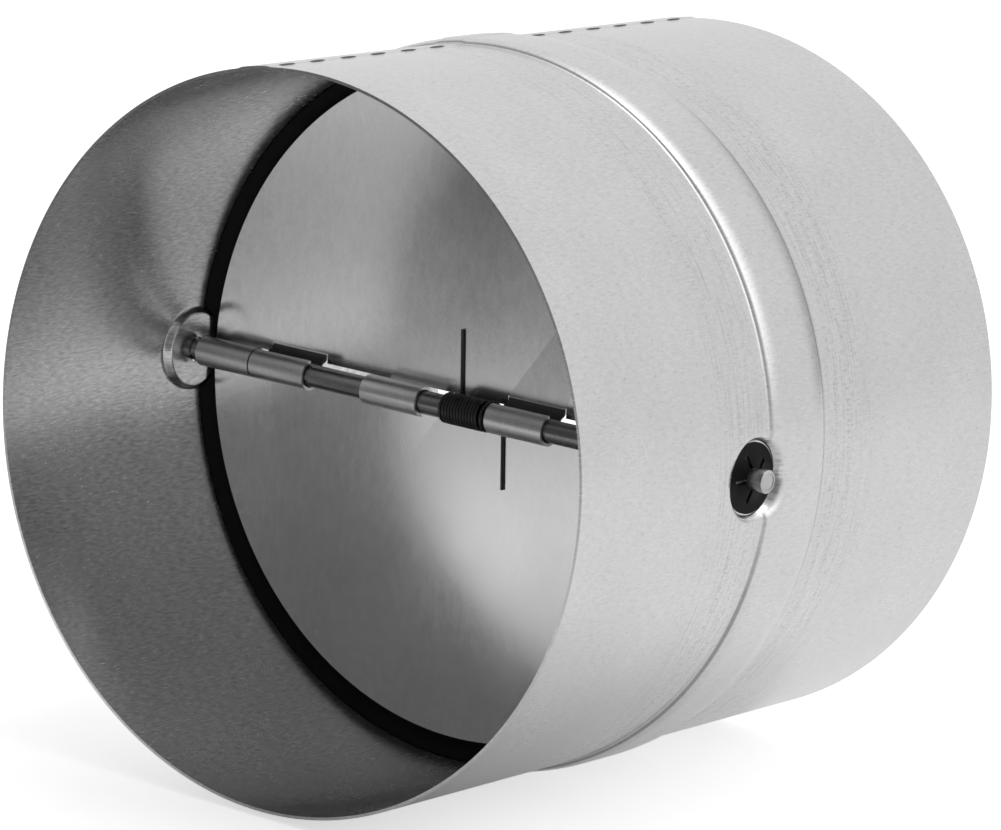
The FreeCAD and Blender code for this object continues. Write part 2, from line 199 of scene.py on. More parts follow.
def merged_copy(node: str, name: str, degrees: float) -> bpy.types.Object:
    """A welded, smoothly shaded copy of a CAD node's mesh.

    Args:
        node: the CAD node to copy.
        name: name of the copy.
        degrees: crease angle.

    Returns:
        The copy, with no material.
    """
    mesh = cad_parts[node].data.copy()
    piece = bpy.data.objects.new(name, mesh)
    mesh.name = name
    mesh.materials.clear()
    bpy.context.scene.collection.objects.link(piece)
    make_active(piece)
    if mesh.has_custom_normals:
        bpy.ops.mesh.customdata_custom_splitnormals_clear()
    bpy.ops.object.mode_set(mode="EDIT")
    bpy.ops.mesh.select_all(action="SELECT")
    bpy.ops.mesh.remove_doubles(threshold=1e-6)
    bpy.ops.mesh.dissolve_limited(angle_limit=math.radians(0.5))
    bpy.ops.object.mode_set(mode="OBJECT")
    smooth(piece, degrees)
    return piece


# shader helpers

Socket = bpy.types.NodeSocket
Value = Socket | float


class NodeKit:
    """Adds nodes to one node tree and links them by name."""

    def __init__(self, tree: bpy.types.NodeTree) -> None:
        """Keep the tree."""
        self.tree = tree

    def link(self, source: Socket, target: Socket) -> None:
        """Link an output to an input."""
        self.tree.links.new(source, target)

    def add(self, kind: str, settings: dict | None = None, **values: object) -> bpy.types.Node:
        """Add a node.

        Args:
            kind: node type without its prefix.
            settings: node properties.
            values: input sockets by name, with _ for spaces, or by i and their number: a number,
                a colour or a socket.

        Returns:
            The new node.
        """
        node = self.tree.nodes.new("ShaderNode" + kind)
        for key, setting in (settings or {}).items():
            setattr(node, key, setting)
        for key, item in values.items():
            numbered = key[0] == "i" and key[1:].isdigit()
            socket = node.inputs[int(key[1:]) if numbered else key.replace("_", " ")]
            if isinstance(item, Socket):
                self.link(item, socket)
            else:
                socket.default_value = item
        return node

    def math(
        self, operation: str, first: Value, second: Value = 0.0, clamp: bool = False,
    ) -> Socket:
        """A Math node's output.

        Args:
            operation: Blender's operation name.
            first: first input, number or socket.
            second: second input, number or socket.
            clamp: keep the result between 0 and 1.

        Returns:
            The Value output.
        """
        node = self.add("Math", {"operation": operation, "use_clamp": clamp}, i0=first, i1=second)
        return node.outputs[0]

    def times(self, first: Value, second: Value) -> Socket:
        """The product of two values."""
        return self.math("MULTIPLY", first, second)

    def plus(self, first: Value, second: Value, clamp: bool = False) -> Socket:
        """The sum of two values."""
        return self.math("ADD", first, second, clamp)

    def minus(self, first: Value, second: Value, clamp: bool = False) -> Socket:
        """The difference of two values."""
        return self.math("SUBTRACT", first, second, clamp)

    def vector(
        self, operation: str, first: Socket, second: object = (0.0, 0.0, 0.0),
    ) -> bpy.types.Node:
        """A Vector Math node."""
        return self.add("VectorMath", {"operation": operation}, i0=first, i1=second)

    def split(self, vector: Socket) -> list[Socket]:
        """The X, Y and Z of a vector."""
        return list(self.add("SeparateXYZ", None, Vector=vector).outputs)

    def grey(self, tone: Value) -> Socket:
        """A colour with one value in all channels."""
        return self.add("CombineColor", None, i0=tone, i1=tone, i2=tone).outputs[0]

    def ramp(
        self, value: Socket, low: float, high: float, start: float = 0.0, stop: float = 1.0,
    ) -> Socket:
        """A clamped map from low..high to start..stop.

        Args:
            value: input socket.
            low: input that gives start.
            high: input that gives stop.
            start: output at low.
            stop: output at high.

        Returns:
            The Result output.
        """
        node = self.add("MapRange", {"clamp": True}, i0=value, i1=low, i2=high, i3=start, i4=stop)
        return node.outputs[0]

    def around(self, value: Socket, middle: float, below: float, above: float) -> Socket:
        """A ramp over the usual range of a noise, from below the middle to above it."""
        return self.ramp(value, 0.3, 0.7, middle - below, middle + above)

    def noise(
        self, vector: Socket, scale: tuple[float, float, float], detail: float = 3.0,
    ) -> Socket:
        """Noise stretched by a scale on each axis.

        Args:
            vector: coordinates.
            scale: how often the noise changes along X, Y and Z.
            detail: octaves.

        Returns:
            The Fac output.
        """
        mapping = self.add("Mapping", {"vector_type": "POINT"}, Vector=vector, Scale=scale)
        node = self.add("TexNoise", None, Vector=mapping.outputs[0], Scale=1.0, Detail=detail)
        return node.outputs[0]


def new_group(
    name: str, inputs: dict[str, float], outputs: tuple[str, ...],
) -> tuple[bpy.types.NodeTree, NodeKit]:
    """An empty shader node group.

    Args:
        name: the group's name.
        inputs: float inputs with their defaults; Coordinates is always the first input.
        outputs: names of its float outputs.

    Returns:
        The group and a kit for it, with its Group Input and Output nodes added.
    """
    group = bpy.data.node_groups.new(name, "ShaderNodeTree")
    group.interface.new_socket("Coordinates", in_out="INPUT", socket_type="NodeSocketVector")
    for key, number in inputs.items():
        socket = group.interface.new_socket(key, in_out="INPUT", socket_type="NodeSocketFloat")
        socket.default_value = number
    for key in outputs:
        group.interface.new_socket(key, in_out="OUTPUT", socket_type="NodeSocketFloat")
    group.nodes.new("NodeGroupInput").name = "in"
    group.nodes.new("NodeGroupOutput").name = "out"
    return group, NodeKit(group)


class SurfaceGroups:
    """The effects that more than one finish shares."""

    def __init__(self) -> None:
        """Build each group once."""
        self.brushed = self._brushed()
        self.speckle = self._speckle()

    @staticmethod
    def _brushed() -> bpy.types.NodeTree:
        """Fine streaks: stretched noise in two widths, and wide clouds for the tone."""
        group, kit = new_group(
            "brushed_grain",
            {"Across X": 2500.0, "Across Y": 2500.0, "Along Z": 60.0, "Strength": 1.0},
            ("Streaks", "Clouds"),
        )
        start, stop = group.nodes["in"].outputs, group.nodes["out"].inputs
        place = start["Coordinates"]
        scale = kit.add(
            "CombineXYZ", None, X=start["Across X"], Y=start["Across Y"], Z=start["Along Z"],
        )
        scaled = kit.vector("MULTIPLY", place, scale.outputs[0]).outputs[0]
        fine = kit.add("TexNoise", None, Vector=scaled, Scale=1.0, Detail=2.0).outputs[0]
        wide = kit.add("TexNoise", None, Vector=scaled, Scale=0.22, Detail=2.0).outputs[0]
        mixed = kit.plus(kit.times(fine, 0.6), kit.times(wide, 0.4))
        clouds = kit.add("TexNoise", None, Vector=place, Scale=38.0, Detail=3.0)
        kit.link(kit.times(kit.minus(mixed, 0.5), start["Strength"]), stop["Streaks"])
        kit.link(clouds.outputs[0], stop["Clouds"])
        return group

    @staticmethod
    def _speckle() -> bpy.types.NodeTree:
        """Small pits and specks, as on rolled zinc and on sheared steel."""
        group, kit = new_group("speckle", {"Size": 900.0, "Amount": 0.35}, ("Specks",))
        start, stop = group.nodes["in"].outputs, group.nodes["out"].inputs
        place = start["Coordinates"]
        cells = kit.add("TexVoronoi", {"feature": "F1"}, Vector=place, Scale=start["Size"])
        spots = kit.ramp(cells.outputs[0], 0.02, 0.42, 1.0, 0.0)
        rare = kit.add("TexNoise", None, Vector=place, Scale=700.0, Detail=2.0)
        where = kit.ramp(rare.outputs[0], 0.30, 0.80)
        kit.link(kit.times(kit.times(spots, where), start["Amount"]), stop["Specks"])
        return group


def new_material(name: str) -> tuple[bpy.types.Material, NodeKit, bpy.types.Node, Socket]:
    """A node material with one Principled shader and Object coordinates.

    Args:
        name: the material's name.

    Returns:
        The material, a kit for its tree, the shader and the coordinates socket.
    """
    material = bpy.data.materials.new(name)
    material.use_nodes = True
    kit = NodeKit(material.node_tree)
    shader = material.node_tree.nodes["Principled BSDF"]
    coordinates = kit.add("TexCoord").outputs["Object"]
    return material, kit, shader, coordinates


def use_group(
    kit: NodeKit, group: bpy.types.NodeTree, coordinates: Socket, **values: float,
) -> list[Socket]:
    """Place a shared group in a material.

    Args:
        kit: kit of the material's tree.
        group: the group.
        coordinates: vector socket.
        values: the group's own inputs by name, with _ for spaces.

    Returns:
        The group's outputs.
    """
    node = kit.tree.nodes.new("ShaderNodeGroup")
    node.node_tree = group
    kit.link(coordinates, node.inputs["Coordinates"])
    for key, number in values.items():
        node.inputs[key.replace("_", " ")].default_value = number
    return list(node.outputs)


@dataclass(frozen=True)
class Relief:
    """A height that the light feels: the socket, and how strong and deep it is."""

    height: Socket
    strength: float
    distance: float


def dress(
    kit: NodeKit, shader: bpy.types.Node, tone: Socket, rough: Socket, relief: Relief,
) -> None:
    """Link a grey tone, a roughness and a relief to a shader.

    Args:
        kit: kit of the material's tree.
        shader: the Principled shader.
        tone: grey value of the base colour.
        rough: roughness.
        relief: the fine relief.
    """
    kit.link(kit.grey(tone), shader.inputs["Base Color"])
    kit.link(rough, shader.inputs["Roughness"])
    bump = kit.add(
        "Bump", None, Strength=relief.strength, Distance=relief.distance, Height=relief.height,
    )
    kit.link(bump.outputs[0], shader.inputs["Normal"])


@dataclass(frozen=True)
class GalvanisedFinish:
    """Rolled zinc-coated sheet, with bands of fine forming marks beside the bead."""

    groups: SurfaceGroups
    grey: float = 0.67
    metallic: float = 0.94
    roughness: float = 0.24
    radius: float = 62.0 * MM
    band_start: float = 9.6 * MM
    band_stop: float = 24.5 * MM
    front_crease: float = -7.35 * MM
    rear_crease: float = 7.55 * MM
    outside_contrast: float = 0.28
    inside_contrast: float = 1.0

    def _unrolled(self, kit: NodeKit, coords: Socket) -> Socket:
        """Coordinates of the sheet before it was rolled, so that marks follow it round the duct."""
        across, along, up = kit.split(coords)
        turn = kit.math("ARCTAN2", across, up)
        flat = kit.add("CombineXYZ", None, X=kit.times(turn, self.radius), Y=along)
        return flat.outputs[0]

    def _inside(self, kit: NodeKit, coords: Socket) -> Socket:
        """1 on the duct's inner face and 0 on its outer face."""
        flat = kit.vector("MULTIPLY", coords, (1.0, 0.0, 1.0)).outputs[0]
        reach = kit.vector("LENGTH", flat).outputs["Value"]
        return kit.ramp(reach, self.radius - 0.15 * MM, self.radius - 0.35 * MM)

    @staticmethod
    def _grain(kit: NodeKit, flat: Socket) -> Socket:
        """Rolling grain: short fine streaks along the duct, about 0."""
        fine = kit.noise(flat, (3000.0, 620.0, 1.0), 2.0)
        coarse = kit.noise(flat, (1500.0, 420.0, 1.0), 3.0)
        return kit.minus(kit.plus(kit.times(fine, 0.6), kit.times(coarse, 0.4)), 0.5)

    def _marks(self, kit: NodeKit, flat: Socket, along: Socket) -> Socket:
        """Forming marks: broken rings round the duct, and short nicks along it."""
        depth = kit.math("ABSOLUTE", along)
        near = kit.ramp(depth, self.band_start - 1.2 * MM, self.band_start)
        band = kit.times(near, kit.ramp(depth, self.band_stop, self.band_stop - 5 * MM))
        rings = kit.ramp(kit.noise(flat, (75.0, 2300.0, 1.0), 2.0), 0.50, 0.72)
        tracks = kit.ramp(kit.noise(flat, (6.0, 520.0, 1.0), 1.0), 0.46, 0.62)
        nicks = kit.ramp(kit.noise(flat, (2300.0, 700.0, 1.0), 1.0), 0.52, 0.70)
        nicks = kit.times(nicks, tracks)
        return kit.times(kit.plus(kit.times(rings, 0.55), kit.times(nicks, 0.6), clamp=True), band)

    def _shade_creases(self, kit: NodeKit, tone: Socket, along: Socket, up: Socket) -> Socket:
        """The tone, darkened by painted shade in the creases at the feet of the bead."""
        front = kit.math("ABSOLUTE", kit.minus(along, self.front_crease))
        rear = kit.math("ABSOLUTE", kit.minus(along, self.rear_crease))
        # painted shade at the front foot is deepest low down; the rear foot gets an even painted
        # shade
        amount = kit.ramp(up, -25.0 * MM, 10.0 * MM, 0.45, 0.15)
        crease_shade = kit.times(kit.ramp(front, 0.15 * MM, 0.45 * MM, 1.0, 0.0), amount)
        tone = kit.times(tone, kit.minus(1.0, crease_shade))
        return kit.times(tone, kit.ramp(rear, 0.2 * MM, 0.9 * MM, 0.80, 1.0))

    def build(self) -> bpy.types.Material:
        """Build the material.

        Returns:
            The finished material.
        """
        material, kit, shader, coords = new_material("galvanised_sheet")
        _, along, up = kit.split(coords)
        flat = self._unrolled(kit, coords)
        inside = self._inside(kit, coords)
        grain = self._grain(kit, flat)
        worn = kit.noise(flat, (55.0, 55.0, 55.0), 4.0)
        specks = use_group(kit, self.groups.speckle, flat, Size=1250.0, Amount=1.0)[0]
        marks = kit.times(self._marks(kit, flat, along), kit.minus(1.0, inside))
        contrast = kit.ramp(inside, 0.0, 1.0, self.outside_contrast, self.inside_contrast)
        tone = kit.plus(kit.times(grain, contrast), kit.around(worn, self.grey, 0.02, 0.02))
        tone = kit.minus(tone, kit.times(marks, 0.20))
        tone = self._shade_creases(kit, tone, along, up)
        tone = kit.minus(tone, kit.times(specks, 0.16), clamp=True)
        rough = kit.plus(kit.times(marks, 0.10), kit.around(worn, self.roughness, 0.03, 0.04))
        rough = kit.plus(rough, kit.times(grain, 0.15))
        height = kit.minus(grain, kit.times(marks, 0.6))
        dress(kit, shader, tone, rough, Relief(height, 0.28, 0.00008))
        shader.inputs["Metallic"].default_value = self.metallic
        return material


@dataclass(frozen=True)
class BrushedAluminiumFinish:
    """Mill-finish aluminium of the flaps, with fine streaks that run up and down. The rolled
    knuckles are duller, and painted shade darkens the strap where the sheet steps forward to the
    shaft."""

    groups: SurfaceGroups
    grey: float = 0.80
    roughness: float = 0.21
    rolled_grey: float = 0.60
    strap_shade_grey: float = 0.10

    def build(self) -> bpy.types.Material:
        """Build the material.

        Returns:
            The finished material.
        """
        material, kit, shader, coords = new_material("brushed_aluminium")
        streaks, clouds = use_group(
            kit, self.groups.brushed, coords, Across_X=3400.0, Across_Y=3400.0, Along_Z=1300.0,
        )
        depth = kit.split(coords)[1]
        rolled = kit.ramp(depth, -7.2 * MM, -8.1 * MM)
        # painted shade on the strap: in front of the plate, and not on the knuckles
        axle = kit.vector("SUBTRACT", coords, AXLE).outputs[0]
        axle = kit.vector("MULTIPLY", axle, (0.0, 1.0, 1.0)).outputs[0]
        away = kit.vector("LENGTH", axle).outputs["Value"]
        ahead = kit.ramp(depth, -6.505 * MM, -6.545 * MM)
        strap_shade = kit.times(ahead, kit.ramp(away, 2.7 * MM, 2.85 * MM))
        tone = kit.around(clouds, self.grey, 0.03, 0.03)
        tone = kit.plus(kit.times(streaks, 0.30), tone, clamp=True)
        tone = kit.times(tone, kit.ramp(rolled, 0.0, 1.0, 1.0, self.rolled_grey / self.grey))
        # painted shade: the strap in front of the plate is darkened
        tone = kit.times(tone, kit.ramp(strap_shade, 0.0, 1.0, 1.0, self.strap_shade_grey / self.grey))
        rough = kit.plus(kit.times(streaks, 0.10), kit.around(clouds, self.roughness, 0.03, 0.05))
        rough = kit.plus(rough, kit.times(rolled, 0.13))
        rough = kit.plus(rough, kit.times(strap_shade, 0.35))
        dress(kit, shader, tone, rough, Relief(streaks, 0.12, 0.00003))
        shader.inputs["Metallic"].default_value = 1.0
        return material


@dataclass(frozen=True)
class WireFinish:
    """Drawn, sheared or blackened steel."""

    groups: SurfaceGroups
    name: str
    grey: float
    metallic: float
    roughness: float
    sheen_level: float = 0.5

    def build(self) -> bpy.types.Material:
        """Build the material.

        Returns:
            The finished material.
        """
        material, kit, shader, coords = new_material(self.name)
        streaks, clouds = use_group(
            kit, self.groups.brushed, coords, Across_X=120.0, Across_Y=2600.0, Along_Z=2600.0,
        )
        specks = use_group(kit, self.groups.speckle, coords, Size=1500.0, Amount=0.3)[0]
        tone = kit.plus(kit.times(streaks, 0.25 * self.grey), self.grey, clamp=True)
        tone = kit.times(tone, kit.minus(1.0, specks))
        rough = kit.around(clouds, self.roughness, 0.05, 0.08)
        dress(kit, shader, tone, rough, Relief(streaks, 0.12, 0.0001))
        shader.inputs["Metallic"].default_value = self.metallic
        shader.inputs["Specular IOR Level"].default_value = self.sheen_level
        return material


@dataclass(frozen=True)
class RubberFinish:
    """Matt black seal rubber with a fine mould texture."""

    groups: SurfaceGroups

    def build(self) -> bpy.types.Material:
        """Build the material.

        Returns:
            The finished material.
        """
        material, kit, shader, coords = new_material("seal_rubber")
        specks = use_group(kit, self.groups.speckle, coords, Size=2200.0, Amount=1.0)[0]
        dust = kit.noise(coords, (90.0, 90.0, 90.0), 3.0)
        tone = kit.plus(kit.ramp(dust, 0.4, 0.8, 0.004, 0.010), kit.times(specks, 0.01))
        rough = kit.ramp(dust, 0.3, 0.7, 0.55, 0.75)
        dress(kit, shader, tone, rough, Relief(specks, 0.2, 0.00005))
        shader.inputs["Specular IOR Level"].default_value = 0.15
        return material


# sub-assemblies


@dataclass
class Casing:
    """The rolled casing: a thin tube with an outward bead, two dimples and a lapped seam. Slopes
    are given at distances in millimetres."""

    finish: bpy.types.Material
    dark: bpy.types.Material
    radius: float = 62.0 * MM
    sheet: float = 0.5 * MM
    around: int = 384
    bead_foot: float = 8.1 * MM
    bead_height: float = 1.0 * MM
    front_slopes: Slopes = (
        (0.0, 0.0), (0.25, 0.42), (0.5, 0.46), (0.65, 1.3), (0.85, 1.3), (1.05, 0.5), (2.9, 0.13),
        (3.6, 0.0),
    )
    rear_slopes: Slopes = ((0.0, 0.0), (0.3, 0.48), (1.1, 0.48), (1.8, 0.14), (5.0, 0.0))
    dimple_depth: float = 1.6 * MM
    dimple_floor: float = 6.45 * MM
    dimple_slopes: Slopes = (
        (0.0, 0.0), (0.15, 1.9), (0.6, 1.9), (1.0, 0.8), (1.8, 0.45), (3.0, 0.25), (12.0, 0.25),
    )
    dimple_blend: float = 0.7 * MM
    dimple_mesh: float = 9.0 * MM
    dimple_reach: float = 17.0 * MM
    shaft_hole: float = 2.15 * MM
    seam_angle: float = 100.0
    seam_half: float = 2.8
    seam_blend: float = 0.7
    seam_rise: float = 0.2 * MM
    stitch_size: tuple[float, float, float] = (0.6 * MM, 4.6 * MM, 0.3 * MM)
    stitch_starts: tuple[float, float] = (-53.2 * MM, 13.2 * MM)
    stitch_pitch: float = 7.8 * MM
    stitch_rise: float = 0.09 * MM
    pieces: list[bpy.types.Object] = field(default_factory=list)

    @staticmethod
    def _climb(here: float, slopes: Slopes) -> float:
        """Height climbed along a row of slopes.

        Args:
            here: how far along, in millimetres.
            slopes: slopes at distances in millimetres, with straight changes between them.

        Returns:
            The height in millimetres.
        """
        total = 0.0
        for (start, low), (stop, high) in zip(slopes, slopes[1:]):
            part = min(stop, max(start, here)) - start
            total += part * (low + low + (high - low) * part / (stop - start)) / 2
        return total

    def _bead(self, y: float) -> float:
        """Height of the bead above the casing at one place along the duct."""
        shares = [
            self._climb(inward / MM, slopes) / self._climb(slopes[-1][0], slopes)
            for inward, slopes in (
                (y + self.bead_foot, self.front_slopes),
                (self.bead_foot - y, self.rear_slopes),
            )
        ]
        return self.bead_height * min(shares)

    def _skin(self, away: float, angle: float) -> float:
        """Distance of the pressed skin from the duct's axis.

        Args:
            away: distance from the shaft's axis.
            angle: direction round the duct.

        Returns:
            The distance. The floor is flat, so it grows away from the shaft.
        """
        rise = self._climb((away - self.dimple_floor) / MM, self.dimple_slopes) * MM
        flat = self.radius - self.dimple_depth - self.sheet / 2 + rise
        return flat / max(0.5, abs(math.cos(angle)))

    @staticmethod
    def _stations() -> list[float]:
        """Places along the duct where the mesh has a ring, close together near the bead."""
        rows = [-21.6 + 0.9 * step for step in range(16)]
        rows += [-58.0, -57.6, -50.0, -40.0, -30.0, -25.0]
        rows += [-8.1 + 0.13 * step for step in range(9)]
        rows += [-6.7, -6.2, -5.7, -5.2, -4.8, -4.5, -3.5, -1.5, 0.0, 1.5, 3.1, 3.9, 4.7, 5.5]
        rows += [6.0, 6.3, 6.6, 6.8, 7.0, 7.2, 7.5, 7.65, 7.8, 7.95, 8.1]
        rows += [9.0, 14.0, 20.0, 30.0, 40.0, 50.0, 57.6, 58.0]
        rows = sorted(set(round(y, 3) for y in rows))
        kept = [rows[0]]
        for y in rows[1:]:
            if y - kept[-1] > 0.12:
                kept.append(y)
        return [y * MM for y in kept]

    def _tube(self) -> bpy.types.Object:
        """A ring extruded from station to station along the duct."""
        deselect_all()
        stations = self._stations()
        bpy.ops.mesh.primitive_circle_add(
            vertices=self.around, radius=self.radius - self.sheet / 2,
            location=(0.0, stations[0], 0.0), rotation=DUCTWISE,
        )
        piece = added("casing_shell")
        bpy.ops.object.mode_set(mode="EDIT")
        bpy.ops.mesh.select_mode(type="EDGE")
        bpy.ops.mesh.select_all(action="SELECT")
        for low, high in zip(stations, stations[1:]):
            step = (0.0, high - low, 0.0)
            bpy.ops.mesh.extrude_region_move(TRANSFORM_OT_translate={"value": step})
        bpy.ops.object.mode_set(mode="OBJECT")
        return piece

    def _refine(self, piece: bpy.types.Object) -> None:
        """Divide the faces where a dimple will be pressed, and once more along its mouth."""
        mouth = (self.dimple_floor - 0.3 * MM, self.dimple_floor + 1.4 * MM)
        for inner, outer in ((0.0, self.dimple_mesh), mouth):
            places = [face.center for face in piece.data.polygons]
            away = [math.hypot(place.y - AXLE[1], place.z) for place in places]
            pick_faces(piece, [inner <= distance < outer for distance in away])
            bpy.ops.mesh.subdivide(number_cuts=2)
            bpy.ops.object.mode_set(mode="OBJECT")

    def _press(self, piece: bpy.types.Object) -> None:
        """Raise the bead, sink the dimples and raise the seam's lap."""
        for vertex in piece.data.vertices:
            x, y, z = vertex.co
            angle = math.atan2(z, x)
            reach = self.radius - self.sheet / 2 + self._bead(y)
            away = math.hypot(y - AXLE[1], z)
            if away < self.dimple_reach:
                reach = blend_down(reach, self._skin(away, angle), self.dimple_blend)
            off = abs(math.degrees(angle) - self.seam_angle)
            lap = ease((self.seam_half + self.seam_blend / 2 - off) / self.seam_blend)
            reach += self.seam_rise * lap
            vertex.co.x = reach * math.cos(angle)
            vertex.co.z = reach * math.sin(angle)

    def _drill(self, piece: bpy.types.Object) -> None:
        """Cut the shaft's hole through both dimple floors."""
        deselect_all()
        bpy.ops.mesh.primitive_cylinder_add(
            vertices=48, radius=self.shaft_hole, depth=4 * self.radius,
            location=AXLE, rotation=SHAFTWISE,
        )
        drill = added("drill")
        apply_modifier(piece, "BOOLEAN", operation="DIFFERENCE", object=drill, solver="EXACT")
        bpy.data.objects.remove(drill)

    def _stitch(self) -> bpy.types.Object:
        """One short lanced mark at the origin, pointed at both ends."""
        deselect_all()
        bpy.ops.mesh.primitive_cube_add(size=1.0)
        mark = added("seam_stitches")
        bpy.ops.object.mode_set(mode="EDIT")
        bpy.ops.mesh.select_all(action="SELECT")
        bpy.ops.mesh.subdivide(number_cuts=3)
        bpy.ops.object.mode_set(mode="OBJECT")
        width, length, height = self.stitch_size
        for vertex in mark.data.vertices:
            x, y, z = vertex.co
            taper = math.sqrt(max(0.0, 1.0 - (2 * y) ** 2)) * 0.9 + 0.1
            vertex.co = (x * width * taper, y * length, z * height * taper)
        return mark

    def _stitches(self) -> bpy.types.Object:
        """The row of marks that holds the lap, along the seam's lower edge, each a little askew."""
        mark = self._stitch()
        copies = []
        edge = math.radians(self.seam_angle - self.seam_half)
        reach = self.radius + self.stitch_rise
        turn = Matrix.Rotation(math.pi / 2 - edge, 4, "Y")
        for start in self.stitch_starts:
            for step in range(6):
                copy = mark.copy()
                copy.data = mark.data.copy()
                bpy.context.scene.collection.objects.link(copy)
                y = start + self.stitch_pitch * step
                skew = Matrix.Rotation(math.radians(2.0 if step % 2 else -1.2), 4, "Z")
                place = Matrix.Translation((reach * math.cos(edge), y, reach * math.sin(edge)))
                copy.data.transform(place @ turn @ skew)
                copies.append(copy)
        bpy.data.objects.remove(mark)
        make_active(copies[0])
        for copy in copies[1:]:
            copy.select_set(True)
        bpy.ops.object.join()
        piece = bpy.context.object
        piece.name = "seam_stitches"
        piece.data.name = "seam_stitches"
        smooth(piece, 60)
        return piece

    def build(self) -> None:
        """Model, dress and register the casing."""
        shell = self._tube()
        self._refine(shell)
        self._press(shell)
        outward(shell)
        apply_modifier(shell, "SOLIDIFY", thickness=self.sheet, offset=0.0, use_even_offset=True)
        self._drill(shell)
        smooth(shell, 40)
        shell.data.materials.append(self.finish)
        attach(shell, "casing_body")
        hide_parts("casing")
        stitches = self._stitches()
        # painted shadow: the stitches are dark to stand for the shade inside the seam's lanced
        # slits
        stitches.data.materials.append(self.dark)
        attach(stitches, "casing_body")
        self.pieces += [shell, stitches]


@dataclass
class TakenOver:
    """A CAD node whose shape is right, welded and smoothly shaded."""

    node: str
    body: str
    slot: str
    finish: bpy.types.Material
    crease: float = 35.0
    pieces: list[bpy.types.Object] = field(default_factory=list)

    def build(self) -> None:
        """Copy, dress and register the node."""
        piece = merged_copy(self.node, self.node + "_surface", self.crease)
        piece.data.materials.append(self.finish)
        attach(piece, self.body)
        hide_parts(self.node)
        self.pieces.append(piece)


@dataclass
class Spring:
    """The torsion spring: a close coil on the shaft, and a leg on each flap that ends in one more
    turn."""

    finish: bpy.types.Material
    wire: float = 0.28 * MM
    turns: int = 12
    bore: float = 2.17 * MM
    plate: float = 4.0 * MM
    leg_top: float = 13.0 * MM
    curl_start: float = 20.0
    curl_steps: int = 16
    curl_drift: float = 0.062 * MM
    sides: int = 10
    pieces: list[bpy.types.Object] = field(default_factory=list)

    def _sweep(self, name: str, start: float, pitch: float, turns: int) -> bpy.types.Object:
        """A helix of wire round the shaft, closed at both ends.

        Args:
            name: name of the piece.
            start: where its first turn lies along the shaft.
            pitch: distance from turn to turn.
            turns: number of whole turns.

        Returns:
            The wire.
        """
        deselect_all()
        bpy.ops.mesh.primitive_circle_add(
            vertices=self.sides, radius=self.wire, location=(start, 0.0, self.bore + self.wire),
            rotation=DUCTWISE,
        )
        piece = added(name)
        apply_modifier(
            piece, "SCREW", axis="X", angle=math.radians(360), screw_offset=pitch,
            iterations=turns, steps=36, render_steps=36, use_merge_vertices=True,
            merge_threshold=1e-6,
        )
        close_ends(piece)
        piece.data.transform(Matrix.Translation(AXLE))
        return piece

    def _line(self, blade: Blade, ends: tuple[float, float]) -> list[Vector]:
        """The middle line of a leg, seen from the shaft's axis.

        Args:
            blade: the flap that the leg lies on.
            ends: the least and the greatest X of the line.

        Returns:
            Points from the leg's tip down the flap, and then once round the shaft.
        """
        sense = blade.value
        tip, foot = ends[::sense]
        flat = self.plate - self.wire
        round_shaft = self.bore + self.wire
        points = [
            Vector((tip + (foot - tip) * share, flat, sense * self.leg_top * (1.0 - share)))
            for share in (0.0, 0.35, 0.65, 0.85)
        ]
        for step in range(self.curl_steps + 1):
            turn = math.radians(self.curl_start - 360.0 / self.curl_steps * step)
            reach = flat + (round_shaft - flat) * ease(step / 5.0)
            along = foot + sense * self.curl_drift * step / self.curl_steps
            points.append(Vector((along, reach * math.cos(turn), sense * reach * math.sin(turn))))
        return points

    def _leg(self, blade: Blade) -> bpy.types.Object:
        """A straight leg that leans a little and curls once round the shaft beside the coil.

        Args:
            blade: the flap that the leg lies on.

        Returns:
            The leg, with the curl behind it.
        """
        node = "spring_leg_" + blade.name.lower()
        low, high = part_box(node)
        points = self._line(blade, (low[0] + self.wire, high[0] - self.wire))
        deselect_all()
        bpy.ops.mesh.primitive_circle_add(vertices=self.sides, radius=self.wire)
        piece = added(node + "_wire")
        bpy.ops.object.mode_set(mode="EDIT")
        bpy.ops.mesh.select_all(action="SELECT")
        for _ in points[1:]:
            step = (0.0, 0.0, self.wire)
            bpy.ops.mesh.extrude_region_move(TRANSFORM_OT_translate={"value": step})
        bpy.ops.object.mode_set(mode="OBJECT")
        self._follow(piece, points)
        close_ends(piece)
        piece.data.transform(Matrix.Translation(AXLE))
        return piece

    def _follow(self, piece: bpy.types.Object, points: list[Vector]) -> None:
        """Lay the rings of a straight tube along a line of points.

        Args:
            piece: tube along Z with one ring for each point.
            points: the line.
        """
        rows: dict[int, list[bpy.types.MeshVertex]] = {}
        for vertex in piece.data.vertices:
            rows.setdefault(round(vertex.co.z / self.wire), []).append(vertex)
        side = Vector((1.0, 0.0, 0.0))
        for index, point in enumerate(points):
            before = points[max(0, index - 1)]
            after = points[min(len(points) - 1, index + 1)]
            ahead = (after - before).normalized()
            across = (side - ahead * side.dot(ahead)).normalized()
            third = ahead.cross(across)
            for vertex in rows[index]:
                u, v = vertex.co.x, vertex.co.y
                vertex.co = point + across * u + third * v

    def build(self) -> None:
        """Model, dress and register the three pieces of the spring."""
        low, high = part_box("spring_coil")
        start = low[0] + self.wire
        pitch = (high[0] - low[0] - 2 * self.wire) / self.turns
        coil = self._sweep("spring_coil_wire", start, pitch, self.turns)
        owners = [
            (coil, "casing_body", "spring_coil"),
            (self._leg(Blade.UPPER), "upper_flap_body", "spring_leg_upper"),
            (self._leg(Blade.LOWER), "lower_flap_body", "spring_leg_lower"),
        ]
        for piece, body, node in owners:
            outward(piece)
            smooth(piece, 50)
            piece.data.materials.append(self.finish)
            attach(piece, body)
            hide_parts(node)
            self.pieces.append(piece)


